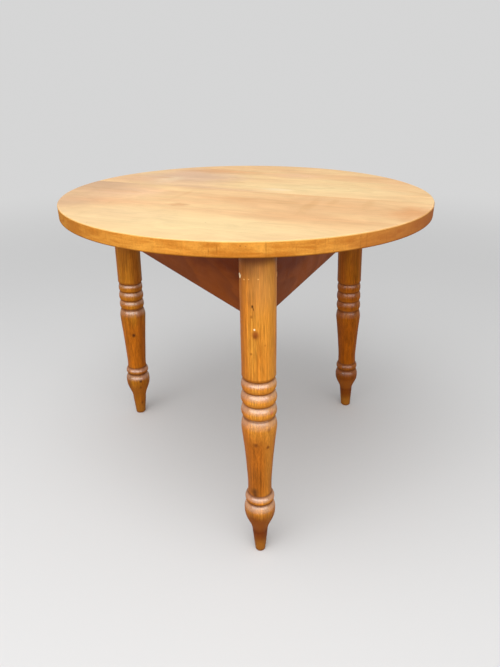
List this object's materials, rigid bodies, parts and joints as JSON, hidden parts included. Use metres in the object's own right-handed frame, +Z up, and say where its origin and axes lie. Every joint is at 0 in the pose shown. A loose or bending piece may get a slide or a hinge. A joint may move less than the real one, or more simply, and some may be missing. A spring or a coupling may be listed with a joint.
{
  "type": "cricket table",
  "caption": "Round boarded table top on turned and slightly splayed legs, joined by a triangular frame of deep, tenoned and pegged apron boards.",
  "frame": {"origin": "on the floor, under the middle of the round top", "axes": "+Z up out of the table top; the front leg stands towards -Y, the left leg towards -X and the right leg towards +X"},
  "size_m": [0.869, 0.869, 0.75],
  "materials": {
    "top_pine": "pale honey pine, satin wax",
    "leg_pine": "orange-gold pine, glossy varnish",
    "apron_wood": "dark reddish brown stain, satin",
    "peg_wood": "bare end grain",
    "block_wood": "bare pine, aged",
    "screw_steel": "dull aged steel"
  },
  "bodies": {
    "root": {"front_top_board": "top_pine", "middle_front_top_board": "top_pine", "middle_back_top_board": "top_pine", "back_top_board": "top_pine", "front_leg": "leg_pine", "right_leg": "leg_pine", "left_leg": "leg_pine", "right_apron": "apron_wood", "back_apron": "apron_wood", "left_apron": "apron_wood", "right_apron_front_peg": "peg_wood", "right_apron_right_peg": "peg_wood", "back_apron_right_peg": "peg_wood", "back_apron_left_peg": "peg_wood", "left_apron_left_peg": "peg_wood", "left_apron_front_peg": "peg_wood", "right_first_glue_block": "block_wood", "right_second_glue_block": "block_wood", "back_first_glue_block": "block_wood", "back_second_glue_block": "block_wood", "left_first_glue_block": "block_wood", "left_second_glue_block": "block_wood", "right_first_wood_screw": "screw_steel", "right_second_wood_screw": "screw_steel", "back_first_wood_screw": "screw_steel", "back_second_wood_screw": "screw_steel", "left_first_wood_screw": "screw_steel", "left_second_wood_screw": "screw_steel"}
  },
  "joints": []
}
